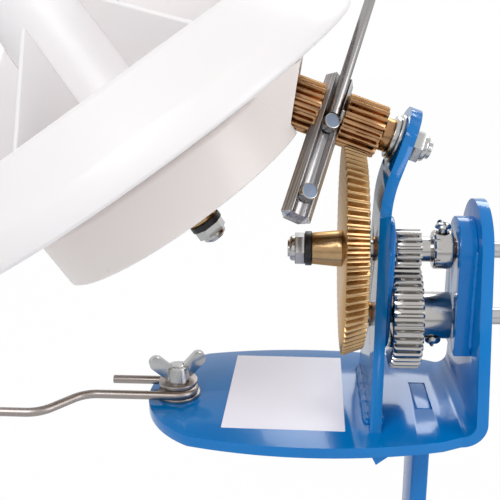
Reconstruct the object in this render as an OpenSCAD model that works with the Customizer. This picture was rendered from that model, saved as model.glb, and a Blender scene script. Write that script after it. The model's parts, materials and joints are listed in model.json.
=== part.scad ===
// Hand-cranked yarn ball winder with a table clamp.
// X runs along the shafts to the crank, Y away from the operator, Z up.
// The origin is on the underside of the base plate, below the main gear's left face.

/* [Frame] */
// Thickness of the bent base plate and the uprights
plate_t = 5; // [4:0.5:7]
// Widest half width of the base plate
plate_half_w = 50; // [46:1:60]
// Reach of the base plate to the left of the main gear's left face
plate_left = 93.5; // [88:1:110]
// Radius of the round left end of the plate
plate_end_r = 50; // [46:1:60]
// Half width of the plate where it bends up
bend_half_w = 38; // [34:1:42]
// Inner radius of the bend
bend_r = 6; // [4:1:10]
// Outside face of the right upright
upright_x = 64; // [62:0.5:72]
// Radius of the right upright's round top
upright_top_r = 23.5; // [20:0.5:27]
// Left face of the middle upright at the main shaft
mid_x = 15; // [14.6:0.1:15.2]
// Lean of the middle upright's lower part
mid_lean = 1.6; // [0:0.1:2]
// Middle radius of the middle upright's bend
mid_bend_r = 62; // [30:1:66]
// Half width of the middle upright at its foot
mid_foot_half_w = 36; // [30:1:40]
// Radius of the eye at the middle upright's top
eye_r = 15; // [13:0.5:17]
// Thickness of the inner bearing block
inner_block_t = 3.2; // [2.4:0.1:3.4]
// Thickness of the outer bearing block
outer_block_t = 7.5; // [5:0.5:8]
// Half width of both bearing blocks
block_half_w = 15.5; // [13:0.5:17]

/* [Shafts] */
// Height of the main shaft above the plate's underside
main_z = 80; // [78:1:90]
// Radius of both shafts and of the two fixed axles
shaft_r = 4; // [3.5:0.25:4.5]
// Radial play of each running fit
running_play = 0.06; // [0.03:0.01:0.08]
// Wall of each bearing bush
bush_wall = 1.6; // [1.2:0.1:2]
// Right end of the main shaft
main_end_x = 78; // [76:0.5:78.5]
// Radius of the reduced seat at each shaft's free end
seat_r = 3.75; // [3.25:0.05:3.75]
// Right end of the crank shaft
crank_end_x = 101; // [100:1:104]

/* [Gears] */
// Module of every gear
gear_m = 1.25; // [1.25:0.05:1.25]
// Teeth of the main gear
main_teeth = 77; // [75:1:79]
// Teeth of the flyer pinion
flyer_teeth = 17; // [17:1:18]
// Teeth of the cone gear
cone_teeth = 98; // [97:1:99]
// Teeth of the pinion on the main shaft
pinion_teeth = 13; // [13:1:14]
// Teeth of the drive gear on the crank shaft
drive_teeth = 39; // [37:1:40]
// Play between meshing teeth, along the pitch line
backlash = 0.45; // [0.3:0.05:0.6]
// Width of the main gear and the cone gear along the tooth
gear_face = 10.4; // [8:0.2:10.6]
// Length of the tapered hub on both brass gears
hub_len = 13.6; // [10:0.2:16]

/* [Flyer] */
// Slope of the flyer axle, and the cone angle of the main gear
axle_slope = 20; // [18:0.5:22]
// Place of the eye in the middle upright along X
eye_x = 26; // [24:0.5:28]
// Gap between the eye's middle plane and the flyer pinion
pinion_start = 10.8; // [10.4:0.1:11.4]
// Distance across the flats of the hexagonal flyer bar
bar_flats = 12; // [11:0.5:13]
// Length of the flyer bar above the axle
bar_up = 20; // [18:1:24]
// Length of the flyer bar below the axle
bar_down = 52; // [46:1:56]
// Turn of the flyer about its axle at rest
flyer_turn = 38; // [0:1:90]
// Radius of the flyer's steel rod
rod_r = 2.5; // [2:0.25:2.75]
// Distance from the axle at which the rod bends over the flange
rod_bend = 80; // [78:1:84]
// Distance of the rod's eye from the axle's line
rod_reach = 141; // [139:1:144]
// Distance of the rod's last bend from the flyer bar, along the axle
rod_diagonal = 100; // [96:1:104]
// Distance of the rod's eye from the flyer bar, along the axle
rod_over = 134; // [128:1:140]

/* [Cone] */
// Slope of the cone's spindle
spindle_slope = 56.8; // [55:0.2:58.4]
// Turn of the cone and its guard about the flyer axle
head_turn = -7; // [-10:1:0]
// Radius of the flange
flange_r = 110; // [100:1:112]
// Radius of the flange's raised inner edge
dish_r = 84; // [78:1:88]
// Height of the raised edge above the flange's rim
dish_h = 31; // [26:1:34]
// Radius of the column at its foot
column_r = 28.6; // [26:0.2:31]
// Radius of the column at its top
column_top_r = 22; // [19:0.5:25]
// Height of the column above the flange's rim
column_h = 143; // [120:1:146]
// Number of fins between the column and the flange
fins = 6; // [4:1:8]
// Wall of the white mouldings
shell_t = 2.2; // [1.8:0.1:2.6]
// Outer radius of the gear guard
guard_r = 66.5; // [66:0.5:70]

/* [Yarn guide] */
// Radius of the guide's steel wire
wire_r = 2.1; // [1.6:0.1:2.3]
// Distance of the guide's bolt from the plate's left end
guide_inset = 15; // [14:0.5:20]
// Sideways place of the guide's bolt on the plate
guide_y = -4; // [-6:0.5:6]
// Distance of the yarn eye from the flyer bar, along the axle
yarn_eye_over = 226; // [222:1:236]

/* [Crank] */
// Length of the crank arm between its centres
crank_len = 72; // [60:1:90]
// Radius of the crank knob
knob_r = 13; // [10:0.5:16]
// Length of the crank knob
knob_len = 46; // [36:1:60]

/* [Clamp] */
// Width of the clamp's flat bar along X
clamp_w = 8; // [6:0.5:10]
// Depth of the clamp's flat bar along Y
clamp_d = 27; // [20:1:30]
// Left face of the clamp's flat bar
clamp_x = 36; // [34:0.5:40]
// Drop of the lower jaw's top face below the plate
clamp_drop = 92; // [86:1:100]
// Gap between the plate and the clamp pad at rest
clamp_gap = 68.5; // [60:0.5:76]
// Radius of the clamp screw
screw_r = 4.5; // [4:0.25:5]

/* [Hidden] */
$fn = 96;

painted = "dodgerblue";
brass = "goldenrod";
nickel = "silver";
steel = "gray";
plastic = "whitesmoke";
dark = "dimgray";

// Bend, uprights and blocks
bend_out_r = bend_r + plate_t;
upright_in_x = upright_x - plate_t;
bend_x = upright_x - bend_out_r;
side_arc_r = 220;
side_arc_x = -14;
mid_foot_x = mid_x - (main_z - plate_t) * tan(mid_lean);
bush_lip = 0.5;
outer_block_x = upright_in_x - outer_block_t;

// Grip teeth in pockets under the plate, near its long edges
tooth_x = 12.7;
tooth_w = 7.9;
tooth_t = 2.4;
tooth_root = 3;
tooth_drop = 4.6;
tooth_tip_x = 2.3;
tooth_y = plate_half_w - side_arc_r + sqrt(pow(side_arc_r, 2) - pow(tooth_x - side_arc_x, 2)) - 3;
seam = 0.05;

// Shaft centres
crank_z = main_z - (pinion_teeth + drive_teeth) * gear_m / 2;
bush_r = shaft_r + running_play + bush_wall;
seat_x = upright_x + 2;

// Stations along the two shafts
pinion_x = 24.7;
pinion_face = 11.3;
pinion_hub_end = 41.5;
collar_len = 8.7;
crank_start_x = 13;
drive_x = 22.9;
drive_face = 13.1;
drive_hub_end = 50.8;
arm_x = 89;
arm_t = 6;
knob_x = arm_x + arm_t + 1.2;

// Teeth
addendum = 0.88 * gear_m;
dedendum = 1.2 * gear_m;
pressure = 20;
main_pitch_r = main_teeth * gear_m / 2;
flyer_pitch_r = flyer_teeth * gear_m / 2;
cone_pitch_r = cone_teeth * gear_m / 2;
flyer_tip_r = flyer_pitch_r + addendum;
drive_tip_r = drive_teeth * gear_m / 2 + addendum;

// The flyer axle passes one pinion radius outside the main gear's pitch cone
axle_up = [sin(axle_slope), 0, cos(axle_slope)];
axle_dir = [-cos(axle_slope), 0, sin(axle_slope)];
axle_ref = [0, 0, main_z + main_pitch_r] + flyer_pitch_r * axle_up;
eye_point = axle_ref + (eye_x - axle_ref[0]) / axle_dir[0] * axle_dir;
mid_top_half_w = 16.5;
mid_turn = axle_slope - mid_lean;
mid_from = [mid_foot_x + plate_t / 2 * cos(mid_lean), plate_t - plate_t / 2 * sin(mid_lean)];
mid_to_eye = [eye_x - mid_from[0], eye_point[2] - mid_from[1]];
mid_cut = mid_bend_r * tan(mid_turn / 2);
mid_leg = (mid_to_eye[1] * sin(axle_slope) - mid_to_eye[0] * cos(axle_slope)) / sin(mid_turn) - mid_cut;
eye_stem = (mid_to_eye[0] * cos(mid_lean) - mid_to_eye[1] * sin(mid_lean)) / sin(mid_turn) - mid_cut;

// Stations along the flyer axle, from the eye's middle plane
bar_corner = bar_flats / cos(30) / 2;
bar_s = 34.9;
pinion_end = 60;
bracket_start = pinion_end + 0.8;
eye_washers = 3.8;
nut_washer = 1.2;
axle_stub = 1.8;
axle_end = 68;
cone_contact = 46.6;

// Flyer rod in the bar's groove
groove_r = 4.2;
groove_y = -bar_flats / 2 - 2.5;
rod_y = groove_y + groove_r - rod_r - 0.05;
screw_head_r = 3.6;
screw_head_h = 4.8;
upper_screw_x = -7.8;
lower_screw_x = -42.5;
rod_foot_x = upper_screw_x + 3.8;
rod_elbow = 12;
rod_slant = atan2(rod_diagonal, rod_reach - rod_bend);
eye_bend = 8.5;
rod_gap = 0.05;
ball_extra = 0.04;

// The cone's spindle: its frame has Z towards the cone's tip and X towards the pinion
cone_angle = spindle_slope - axle_slope;
spindle_turn = spindle_slope - 90;
spindle_up = [-cos(spindle_slope), 0, sin(spindle_slope)];
spindle_out = [sin(spindle_slope), 0, cos(spindle_slope)];
nut_h = 7.2;
washer_h = 3.2;
gear_t = nut_h + washer_h + hub_len;
spindle_foot = eye_point + cone_contact * axle_dir - flyer_pitch_r * axle_up
    - cone_pitch_r * spindle_out - gear_t * spindle_up;

// Stations along the spindle, from the nut's end
guard_rim_t = gear_t + 1.2;
guard_top_t = guard_rim_t + 24.9;
hood_slope = 48;
hood_half_w = 20.5;
hood_flare = 0.55;
hood_reach = 28;
bracket_h = 4;
bracket_screw_x = [22, 40];
bracket_t = guard_top_t - shell_t - bracket_h;
flange_t = guard_top_t + 5.5;
floor_t = flange_t + 14;
dish_t = flange_t + dish_h;
column_t = flange_t + column_h;
fin_h = 54;
fin_phase = 20;
cone_hub_t = guard_top_t + 1.2;
cone_hub_r = 9;
cone_hub_over = 16;
crown_r = 6;

// Guide
guide_x = guide_inset - plate_left;
bolt_r = 3;
low_washer_t = 1.8;
top_washer_t = 2;
wire_z = plate_t + low_washer_t + 0.1 + wire_r;
loop_r = 5.9 + wire_r;
loop_shift = -1.5;
wing_z = wire_z + wire_r + 0.1 + top_washer_t + 0.1;
wing_boss_h = 7;
yarn_eye = eye_point + (bar_s + yarn_eye_over) * axle_dir;
yarn_eye_bend = 8.5;
riser_x = yarn_eye[0];

// Clamp
jaw_t = 9;
jaw_reach = 50;
screw_inset = 32;
screw_x = clamp_x - screw_inset;
pad_r = 13;
pad_t = 5;
pad_z = -clamp_gap - pad_t;
screw_len = 92;
handle_r = 3;
screw_head = 14;
handle_z = pad_z - screw_len + screw_head / 2;
handle_len = 64;
pivot_r = 3;

// Places a piece along the flyer axle: Z up the axle, X across it in the shafts' plane
module on_axle(s = 0) {
    translate(eye_point) rotate([0, axle_slope - 90, 0]) translate([0, 0, s]) children();
}

// Places a piece on the cone's spindle
module on_spindle(t = 0) {
    on_axle() rotate([0, 0, head_turn]) rotate([0, 90 - axle_slope, 0]) translate(-eye_point)
        translate(spindle_foot) rotate([0, spindle_turn, 0]) translate([0, 0, t]) children();
}

// Places a piece in the flyer's frame: X along the bar, Z along the axle, minus Y in front
module on_flyer() {
    on_axle(bar_s) rotate([0, 0, flyer_turn]) children();
}

// Places a piece on a shaft along X
module on_shaft(x, z) {
    translate([x, 0, z]) rotate([0, 90, 0]) children();
}

// Involute profile of a spur gear, with one tooth centred on the X axis
function inv(a) = tan(a) * 180 / PI - a;
function half_tooth(r, pitch_r, thick) =
    let (base_r = pitch_r * cos(pressure))
    thick / 2 / pitch_r * 180 / PI + inv(pressure) - (r > base_r ? inv(acos(base_r / r)) : 0);
module gear_profile(teeth, play) {
    pitch_r = teeth * gear_m / 2;
    thick = PI * gear_m / 2 - play;
    radii = [for (k = [0:3]) pitch_r - dedendum + (addendum + dedendum) * k / 3];
    polygon([for (i = [0:teeth - 1]) each concat(
        [for (k = [0:3]) let (a = i * 360 / teeth - half_tooth(radii[k], pitch_r, thick))
            radii[k] * [cos(a), sin(a)]],
        [for (k = [3:-1:0]) let (a = i * 360 / teeth + half_tooth(radii[k], pitch_r, thick))
            radii[k] * [cos(a), sin(a)]])]);
}

// One tooth space of a conical gear, across the tooth
module tooth_space(play) {
    half = PI * gear_m / 4 + play / 2;
    top = addendum + gear_m;
    polygon([
        [-dedendum, -half + dedendum * tan(pressure)], [top, -half - top * tan(pressure)],
        [top, half + top * tan(pressure)], [-dedendum, half - dedendum * tan(pressure)]]);
}

// Conical gear that meshes with a straight pinion: large end at Z 0, with a tapered hub below
module conical_gear(teeth, cone, phase) {
    pitch_r = teeth * gear_m / 2;
    tip_r = pitch_r + addendum / cos(cone);
    height = gear_face * cos(cone);
    small_r = tip_r - height * tan(cone);
    web_r = pitch_r - height * tan(cone) - 7;
    difference() {
        union() {
            rotate_extrude() polygon([
                [0, 0], [tip_r - 0.5, 0], [tip_r - 0.1, 0.5], [small_r + 0.3, height - 0.5],
                [small_r - 0.2, height], [web_r, height], [web_r - 2, 6], [11, 6], [11, height], [0, height]]);
            translate([0, 0, -hub_len]) cylinder(r1 = 7.3, r2 = 8.6, h = hub_len);
        }
        translate([0, 0, -hub_len - 1]) cylinder(r = shaft_r, h = hub_len + height + 2);
        for (i = [0:teeth - 1]) rotate([0, 0, phase + i * 360 / teeth]) translate([pitch_r, 0, 0])
            rotate([0, -cone, 0]) translate([0, 0, -4]) linear_extrude(gear_face + 10) tooth_space(backlash / 2);
    }
}

// Fasteners
module hex_nut(flats, h, bore_r) {
    difference() {
        intersection() {
            cylinder(r = flats / sqrt(3), h = h, $fn = 6);
            rotate_extrude() polygon([
                [0, 0], [flats / 2 + 0.1, 0], [flats / sqrt(3) + 0.1, 0.8],
                [flats / sqrt(3) + 0.1, h - 2.2], [flats / 2 - 1.4, h], [0, h]]);
        }
        translate([0, 0, -1]) cylinder(r = bore_r, h = h + 2);
    }
}
module ring(outer_r, inner_r, h) {
    difference() {
        cylinder(r = outer_r, h = h);
        translate([0, 0, -1]) cylinder(r = inner_r, h = h + 2);
    }
}
module pan_screw(head_r, head_h, shank_r, shank_len) {
    rotate_extrude() polygon(concat(
        [[0, -shank_len], [shank_r, -shank_len], [shank_r, 0]],
        [for (a = [0:15:75]) [head_r * cos(a), head_h * sin(a)]],
        [[0, head_h]]));
}

// Base plate and right upright, one bent sheet
module plate_outline() {
    intersection() {
        translate([side_arc_x, side_arc_r - plate_half_w]) circle(r = side_arc_r, $fn = 360);
        translate([side_arc_x, plate_half_w - side_arc_r]) circle(r = side_arc_r, $fn = 360);
        union() {
            translate([plate_end_r - plate_left, 0]) circle(r = plate_end_r);
            translate([plate_end_r - plate_left, -plate_half_w])
                square([bend_x - plate_end_r + plate_left, 2 * plate_half_w]);
        }
        polygon([
            [-plate_left - 1, -plate_half_w - 1], [side_arc_x + 40, -plate_half_w - 1], [bend_x, -bend_half_w],
            [bend_x, bend_half_w], [side_arc_x + 40, plate_half_w + 1], [-plate_left - 1, plate_half_w + 1]]);
    }
}
module tombstone(foot_half_w, foot_z, top_r, top_z) {
    lean = asin((foot_half_w - top_r) / (top_z - foot_z));
    union() {
        translate([top_z, 0]) circle(r = top_r);
        polygon([
            [foot_z, -foot_half_w], [top_z + top_r * sin(lean), -top_r * cos(lean)],
            [top_z + top_r * sin(lean), top_r * cos(lean)], [foot_z, foot_half_w]]);
    }
}
// Turns an outline with its height along X into an upright sheet with its left face at x
module upright_sheet(x, t) {
    translate([x, 0, 0]) rotate([0, -90, 0]) mirror([0, 0, 1]) linear_extrude(t) children();
}
module bearing_holes() {
    for (z = [main_z, crank_z]) on_shaft(mid_foot_x - 3, z) cylinder(r = bush_r, h = upright_x - mid_foot_x + 4);
}
module base_plate() {
    color(painted) difference() {
        union() {
            linear_extrude(plate_t) plate_outline();
            intersection() {
                translate([bend_x, bend_half_w, bend_out_r]) rotate([90, 0, 0]) difference() {
                    cylinder(r = bend_out_r, h = 2 * bend_half_w);
                    translate([0, 0, -1]) cylinder(r = bend_r, h = 2 * bend_half_w + 2);
                }
                translate([bend_x, -bend_half_w, 0]) cube([bend_out_r, 2 * bend_half_w, bend_out_r]);
            }
            upright_sheet(upright_in_x, plate_t) tombstone(bend_half_w, bend_out_r, upright_top_r, main_z);
        }
        bearing_holes();
        translate([clamp_x, -clamp_d / 2, -1]) cube([clamp_w, clamp_d, plate_t + 2]);
        translate([guide_x, guide_y, -1]) cylinder(r = bolt_r, h = plate_t + 2);
        translate([guide_x, guide_y, -seam]) cylinder(r1 = 2 * bolt_r + 2 * seam, r2 = bolt_r + seam, h = bolt_r);
        for (side = [-1, 1]) translate([tooth_x, side * tooth_y + tooth_t / 2, -1]) rotate([90, 0, 0])
            linear_extrude(tooth_t) square([tooth_w, tooth_root + 1]);
    }
}

// Places a piece on the leaning middle upright: Z up it, X from its left face
module on_middle() {
    translate([mid_foot_x, 0, plate_t]) rotate([0, mid_lean, 0]) children();
}
function lean_x(z) = mid_x + (z - main_z) * tan(mid_lean);

// Middle upright, with its bent top and eye
module middle_upright() {
    color(painted) difference() {
        on_middle() {
            upright_sheet(0, plate_t) polygon([
                [-1, -mid_foot_half_w], [mid_leg, -mid_top_half_w], [mid_leg, mid_top_half_w], [-1, mid_foot_half_w]]);
            translate([plate_t / 2 + mid_bend_r, 0, mid_leg]) {
                rotate([90, 0, 0]) translate([0, 0, -mid_top_half_w]) intersection() {
                    ring(mid_bend_r + plate_t / 2, mid_bend_r - plate_t / 2, 2 * mid_top_half_w);
                    linear_extrude(2 * mid_top_half_w) polygon([
                        [0, 0], [-2 * mid_bend_r, 0], 2 * mid_bend_r * [-cos(mid_turn), sin(mid_turn)]]);
                }
                rotate([0, mid_turn, 0]) upright_sheet(-mid_bend_r - plate_t / 2, plate_t) union() {
                    polygon([[0, -mid_top_half_w], [eye_stem, -eye_r], [eye_stem, eye_r], [0, mid_top_half_w]]);
                    translate([eye_stem, 0]) circle(r = eye_r);
                }
            }
        }
        translate([0, -50, 0]) cube([40, 100, plate_t]);
        bearing_holes();
        on_axle(-plate_t) cylinder(r = shaft_r, h = 2 * plate_t);
    }
}

// Bearing blocks and their bushes
module inner_bearing_block() {
    block_from = crank_z - plate_t;
    block_to = main_z - plate_t;
    color(painted) difference() {
        on_middle() upright_sheet(plate_t, inner_block_t) union() {
            for (h = [block_from, block_to]) translate([h, 0]) circle(r = block_half_w);
            translate([block_from, -block_half_w]) square([block_to - block_from, 2 * block_half_w]);
        }
        bearing_holes();
    }
}
module outer_bearing_block() {
    color(painted) difference() {
        upright_sheet(outer_block_x, outer_block_t) union() {
            translate([main_z, 0]) circle(r = block_half_w);
            translate([crank_z - 14, -block_half_w]) square([main_z - crank_z + 14, 2 * block_half_w]);
        }
        bearing_holes();
    }
}
module bearing_bushes() {
    color(brass) for (z = [main_z, crank_z]) {
        on_shaft(lean_x(z) - bush_lip, z)
            ring(bush_r, shaft_r + running_play, plate_t + inner_block_t + 2 * bush_lip);
        on_shaft(outer_block_x, z) ring(bush_r, shaft_r + running_play, upright_x - outer_block_x);
    }
}

// Table clamp
module clamp_bar() {
    color(painted) difference() {
        union() {
            translate([clamp_x, -clamp_d / 2, -clamp_drop]) cube([clamp_w, clamp_d, clamp_drop + plate_t]);
            translate([clamp_x + clamp_w - jaw_reach, -clamp_d / 2, -clamp_drop - jaw_t])
                cube([jaw_reach, clamp_d, jaw_t]);
            translate([clamp_x + clamp_w - jaw_reach, 0, -clamp_drop - jaw_t]) cylinder(r = clamp_d / 2, h = jaw_t);
        }
        translate([screw_x, 0, -clamp_drop - jaw_t - 1]) cylinder(r = screw_r + running_play, h = jaw_t + 2);
    }
}
module grip_spurs() {
    color(painted) for (side = [-1, 1]) translate([tooth_x, side * tooth_y + tooth_t / 2, 0]) rotate([90, 0, 0])
        linear_extrude(tooth_t) polygon([
            [0, tooth_root], [0, 0], [tooth_tip_x, -tooth_drop], [tooth_w, 0], [tooth_w, tooth_root]]);
}
module clamp_pad() {
    color(dark) translate([screw_x, 0, pad_z]) difference() {
        rotate_extrude() polygon([
            [0, -3], [7.5, -3], [pad_r, 0.5], [pad_r, pad_t - 0.6], [pad_r - 0.6, pad_t], [0, pad_t]]);
        translate([0, 0, -4]) cylinder(r = pivot_r + running_play, h = 5.5);
    }
}
module clamp_screw() {
    color(nickel) translate([screw_x, 0, pad_z]) difference() {
        union() {
            translate([0, 0, -5]) cylinder(r = pivot_r, h = 6.2);
            translate([0, 0, -screw_len + 12]) cylinder(r = screw_r, h = screw_len - 15.2);
            translate([0, 0, -screw_len]) cylinder(r = screw_head / 2, h = screw_head);
        }
        translate([0, screw_head, handle_z - pad_z]) rotate([90, 0, 0])
            cylinder(r = handle_r + running_play, h = 2 * screw_head);
    }
}
module clamp_handle() {
    color(nickel) translate([screw_x, 0, handle_z]) rotate([90, 0, 0]) {
        translate([0, 0, -handle_len / 2]) cylinder(r = handle_r, h = handle_len);
        for (z = [-handle_len / 2 - 4, handle_len / 2]) translate([0, 0, z]) cylinder(r = handle_r + 1.4, h = 4);
    }
}

// Main shaft and what turns with it
module main_shaft() {
    color(nickel) on_shaft(-hub_len - washer_h - nut_h - 0.8, main_z)
        cylinder(r = shaft_r, h = seat_x + hub_len + washer_h + nut_h + 0.8);
    color(nickel) on_shaft(seat_x, main_z) cylinder(r = seat_r, h = main_end_x - seat_x);
}
module main_gear() { color(brass) on_shaft(0, main_z) conical_gear(main_teeth, axle_slope, 180); }
module main_gear_washer() { color(dark) on_shaft(-hub_len - washer_h, main_z) ring(8, shaft_r, washer_h); }
module main_gear_nut() {
    color(nickel) on_shaft(-hub_len - washer_h, main_z) mirror([0, 0, 1]) hex_nut(13, nut_h, shaft_r);
}
module main_pinion() {
    color(nickel) difference() {
        union() {
            on_shaft(pinion_x, main_z) linear_extrude(pinion_face) gear_profile(pinion_teeth, backlash / 2);
            on_shaft(pinion_x + pinion_face, main_z) cylinder(r = 5.8, h = pinion_hub_end - pinion_x - pinion_face);
        }
        on_shaft(0, main_z) cylinder(r = shaft_r, h = 60);
    }
}
module shaft_collar() {
    color(nickel) difference() {
        on_shaft(pinion_hub_end, main_z) rotate_extrude() polygon([
            [shaft_r, 0], [8.2, 0], [9, 0.8], [9, collar_len - 0.8], [8.2, collar_len], [shaft_r, collar_len]]);
        translate([pinion_hub_end + collar_len / 2, 0, main_z + shaft_r]) cylinder(r = 2, h = 10);
        for (i = [0:11]) on_shaft(pinion_hub_end - 1, main_z) rotate([0, 0, 15 + i * 30])
            translate([8.4, -0.5, 0]) cube([2, 1, 3.4]);
    }
}
module collar_screw() {
    color(nickel) translate([pinion_hub_end + collar_len / 2, 0, main_z + 9 + 2.4]) {
        pan_screw(3.7, 2.6, 2, 2.4 + 9 - shaft_r);
    }
}

// Crank shaft and what turns with it
module crank_shaft() {
    color(nickel) on_shaft(crank_start_x, crank_z) cylinder(r = shaft_r, h = arm_x - crank_start_x);
    color(nickel) on_shaft(arm_x, crank_z) cylinder(r = seat_r, h = crank_end_x - arm_x);
}
module drive_gear() {
    bevel = 0.9;
    color(nickel) difference() {
        union() {
            on_shaft(drive_x + 0.4, crank_z) intersection() {
                linear_extrude(drive_face) gear_profile(drive_teeth, backlash / 2);
                rotate_extrude() polygon([
                    [0, 0], [drive_tip_r - bevel, 0], [drive_tip_r + 0.1, bevel + 0.1],
                    [drive_tip_r + 0.1, drive_face - bevel - 0.1], [drive_tip_r - bevel, drive_face], [0, drive_face]]);
            }
            on_shaft(drive_x + drive_face, crank_z) cylinder(r = 11, h = drive_hub_end - drive_x - drive_face);
        }
        on_shaft(0, crank_z) cylinder(r = shaft_r, h = 60);
        translate([drive_hub_end - 7.5, 0, crank_z]) rotate([150, 0, 0]) cylinder(r = 2, h = 14);
    }
}
module drive_gear_screw() {
    color(nickel) translate([drive_hub_end - 7.5, 0, crank_z]) rotate([150, 0, 0]) translate([0, 0, 12.2])
        pan_screw(3.7, 2.6, 2, 12.2 - shaft_r);
}
module crank_arm() {
    color(painted) difference() {
        union() {
            on_shaft(arm_x, crank_z) cylinder(r = 9, h = 12);
            on_shaft(arm_x, crank_z) linear_extrude(arm_t) union() {
                circle(r = 9);
                translate([crank_len, 0]) circle(r = 7.5);
                translate([0, -7.5]) square([crank_len, 15]);
            }
        }
        on_shaft(arm_x - 1, crank_z) cylinder(r = seat_r, h = 20);
        on_shaft(arm_x - 1, crank_z - crank_len) cylinder(r = 3, h = 20);
        translate([arm_x + 9, 0, crank_z]) cylinder(r = 2, h = 12);
    }
}
module crank_screw() {
    color(nickel) translate([arm_x + 9, 0, crank_z + 10.2]) pan_screw(3.7, 2.6, 2, 10.2 - seat_r);
}
module knob_spindle() {
    color(nickel) on_shaft(arm_x - 2.6, crank_z - crank_len) {
        cylinder(r = 5.2, h = 2.6);
        cylinder(r = 3, h = 2.6 + arm_t + 1.2 + knob_len + 0.4);
        translate([0, 0, 2.6 + arm_t]) cylinder(r = 5, h = 0.8);
        translate([0, 0, 2.6 + arm_t + 1.2 + knob_len + 0.4]) cylinder(r = 5, h = 2.4);
    }
}
module crank_knob() {
    color(dark) on_shaft(knob_x, crank_z - crank_len) difference() {
        rotate_extrude() polygon([
            [0, 0], [knob_r * 0.6, 0], [knob_r * 0.68, 1.2], [knob_r * 0.7, knob_len * 0.15],
            for (a = [0:12:84]) [knob_r * (0.7 + 0.3 * sin(a * 90 / 84)), knob_len * (0.15 + 0.5 * a / 84)],
            for (a = [12:13:90]) [knob_r * cos(a) , knob_len * (0.65 + 0.35 * sin(a))],
            [0, knob_len]]);
        translate([0, 0, -1]) cylinder(r = 3 + running_play, h = knob_len + 2);
    }
}

// Fixed flyer axle
module flyer_axle() {
    right_end = plate_t / 2 + nut_washer + nut_h + axle_stub;
    color(nickel) on_axle(-right_end) cylinder(r = shaft_r, h = right_end + axle_end);
}
module axle_washers() {
    on_axle() {
        color(dark) translate([0, 0, -plate_t / 2 - nut_washer]) ring(8, shaft_r, nut_washer);
        color(nickel) translate([0, 0, plate_t / 2]) {
            ring(11, shaft_r, 1.6);
            translate([0, 0, 1.7]) ring(9.5, shaft_r, eye_washers - 1.7);
        }
    }
}
module axle_nut() {
    color(nickel) on_axle(-plate_t / 2 - nut_washer) mirror([0, 0, 1]) hex_nut(13, nut_h, shaft_r);
}
module axle_spacer() {
    spacer_start = plate_t / 2 + eye_washers;
    color(brass) on_axle(spacer_start) ring(7.4, shaft_r, pinion_start - spacer_start - 0.4);
}

// Flyer: pinion with a cross slot, the bar lying in it, screws and rod
module bar_prism() {
    translate([-bar_down, 0, 0]) rotate([0, 90, 0]) cylinder(r = bar_corner, h = bar_down + bar_up, $fn = 6);
}
module flyer_pinion() {
    color(brass) difference() {
        on_axle(pinion_start) linear_extrude(pinion_end - pinion_start) rotate([0, 0, 180])
            gear_profile(flyer_teeth, backlash / 2);
        on_axle(pinion_start - 1) cylinder(r = shaft_r + running_play, h = pinion_end);
        on_flyer() {
            bar_prism();
            translate([-20, -20, -bar_corner]) cube([40, 20, 2 * bar_corner]);
        }
    }
}
module flyer_bar() {
    color(steel) on_flyer() difference() {
        bar_prism();
        translate([0, 0, -10]) cylinder(r = shaft_r + running_play, h = 20);
        translate([-bar_down - 1, groove_y, 0]) rotate([0, 90, 0]) cylinder(r = groove_r, h = bar_down + bar_up + 2);
        for (x = [upper_screw_x, lower_screw_x]) translate([x, groove_y + groove_r, 0]) rotate([90, 0, 0]) {
            cylinder(r = screw_head_r + 0.05, h = 10);
            translate([0, 0, -20]) cylinder(r = 2, h = 21);
        }
    }
}
module bar_screws() {
    color(nickel) on_flyer() for (x = [upper_screw_x, lower_screw_x]) translate([x, groove_y + groove_r, 0])
        rotate([90, 0, 0]) {
            cylinder(r = screw_head_r, h = screw_head_h);
            translate([0, 0, -bar_flats / 2 - 3.8]) cylinder(r = 2, h = bar_flats / 2 + 3.8);
        }
}

// Bent rod, drawn along its own Z: straight legs and elbows that turn towards X, with a ball at each change
module leg(r, len) {
    translate([0, 0, rod_gap]) cylinder(r = r, h = len - 2 * rod_gap);
    translate([0, 0, len]) children();
}
module elbow(r, bend, angle) {
    cut = rod_gap / bend * 180 / PI;
    sphere(r = r + ball_extra);
    translate([bend, 0, 0]) rotate([-90, 0, 0]) rotate([0, 0, 180 + cut])
        rotate_extrude(angle = angle - 2 * cut) translate([bend, 0]) circle(r = r);
    translate([bend, 0, 0]) rotate([0, angle, 0]) translate([-bend, 0, 0]) {
        sphere(r = r + ball_extra);
        children();
    }
}
// Open eye at the end of a rod, centred on the rod's own line
module open_eye(r, bend) {
    rotate([0, 0, 180]) elbow(r, bend, 60) rotate([0, 0, 180]) elbow(r, bend, 290);
}
module flyer_rod() {
    cut_a = rod_elbow * tan(rod_slant / 2);
    cut_b = rod_elbow * tan(45 - rod_slant / 2);
    slant_len = norm([rod_diagonal, rod_reach - rod_bend]);
    eye_rise = 2 * eye_bend * sin(60);
    color(steel) on_flyer() translate([rod_foot_x, rod_y, 0]) rotate([0, 90, 0]) rotate([0, 0, 180])
        leg(rod_r, rod_bend - rod_foot_x - cut_a) elbow(rod_r, rod_elbow, rod_slant)
        leg(rod_r, slant_len - cut_a - cut_b) elbow(rod_r, rod_elbow, 90 - rod_slant)
        leg(rod_r, rod_over - rod_diagonal - cut_b - eye_rise) open_eye(rod_r, eye_bend);
}

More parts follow.
